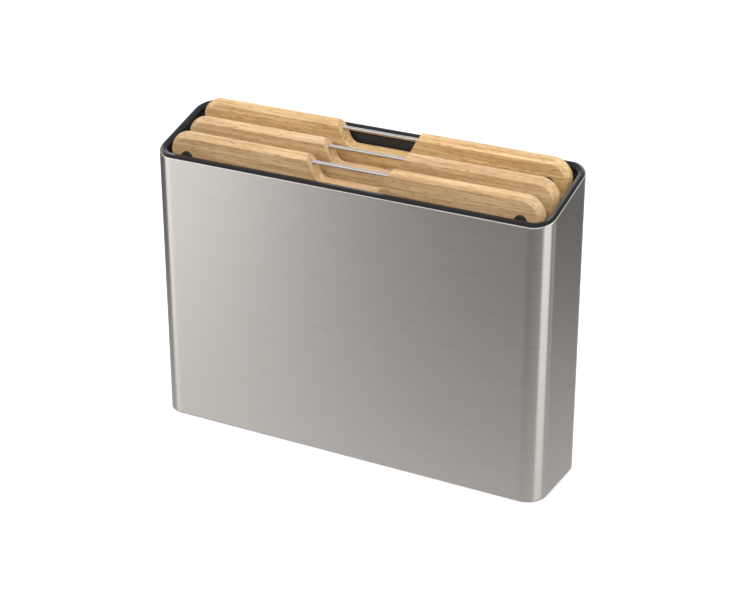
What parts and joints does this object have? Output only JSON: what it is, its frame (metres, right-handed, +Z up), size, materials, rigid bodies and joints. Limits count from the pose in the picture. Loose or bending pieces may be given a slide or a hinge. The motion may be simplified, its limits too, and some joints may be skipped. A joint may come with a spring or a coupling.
{
  "type": "chopping board set in storage case",
  "caption": "Wooden chopping boards with finger notches and steel lifting bars, standing on edge in a slant-topped brushed steel case with a dark plastic rim.",
  "frame": {"origin": "middle of the object's footprint, on the surface that it stands on", "axes": "+X to the right along the case's width, +Y from the low front of the case to its high back, +Z up"},
  "size_m": [0.3334, 0.078, 0.2522],
  "materials": {
    "case_steel": "satin, brushed left to right",
    "rim_plastic": "fine satin",
    "liner_plastic": "matt",
    "fastener_steel": "plain",
    "foot_rubber": "matt",
    "board_wood": "oiled, fine straight grain",
    "bar_steel": "bright satin",
    "pad_rubber": "matt"
  },
  "bodies": {
    "case": {"steel_sleeve": "case_steel", "top_rim": "rim_plastic", "inner_liner": "liner_plastic", "base_plate": "liner_plastic", "base_screws": "fastener_steel", "left_slot_guide": "liner_plastic", "right_slot_guide": "liner_plastic", "left_step_block": "liner_plastic", "right_step_block": "liner_plastic", "case_foot_front_left": "foot_rubber", "case_foot_front_right": "foot_rubber", "case_foot_back_left": "foot_rubber", "case_foot_back_right": "foot_rubber"},
    "front_board_body": {"front_board": "board_wood", "front_handle_bar": "bar_steel", "front_board_front_foot_upper_left": "pad_rubber", "front_board_front_foot_upper_right": "pad_rubber", "front_board_front_foot_lower_left": "pad_rubber", "front_board_front_foot_lower_right": "pad_rubber", "front_board_back_foot_upper_left": "pad_rubber", "front_board_back_foot_upper_right": "pad_rubber", "front_board_back_foot_lower_left": "pad_rubber", "front_board_back_foot_lower_right": "pad_rubber"},
    "middle_board_body": {"middle_board": "board_wood", "middle_handle_bar": "bar_steel", "middle_board_front_foot_upper_left": "pad_rubber", "middle_board_front_foot_upper_right": "pad_rubber", "middle_board_front_foot_lower_left": "pad_rubber", "middle_board_front_foot_lower_right": "pad_rubber", "middle_board_back_foot_upper_left": "pad_rubber", "middle_board_back_foot_upper_right": "pad_rubber", "middle_board_back_foot_lower_left": "pad_rubber", "middle_board_back_foot_lower_right": "pad_rubber"},
    "rear_board_body": {"rear_board": "board_wood", "rear_handle_bar": "bar_steel", "rear_board_front_foot_upper_left": "pad_rubber", "rear_board_front_foot_upper_right": "pad_rubber", "rear_board_front_foot_lower_left": "pad_rubber", "rear_board_front_foot_lower_right": "pad_rubber", "rear_board_back_foot_upper_left": "pad_rubber", "rear_board_back_foot_upper_right": "pad_rubber", "rear_board_back_foot_lower_left": "pad_rubber", "rear_board_back_foot_lower_right": "pad_rubber"}
  },
  "joints": [
    {"name": "front_board_lift", "type": "slide", "parent": "case", "child": "front_board_body", "axis": [0, 0, 1], "range_m": [0, 0.24]},
    {"name": "middle_board_lift", "type": "slide", "parent": "case", "child": "middle_board_body", "axis": [0, 0, 1], "range_m": [0, 0.24]},
    {"name": "rear_board_lift", "type": "slide", "parent": "case", "child": "rear_board_body", "axis": [0, 0, 1], "range_m": [0, 0.24]}
  ]
}
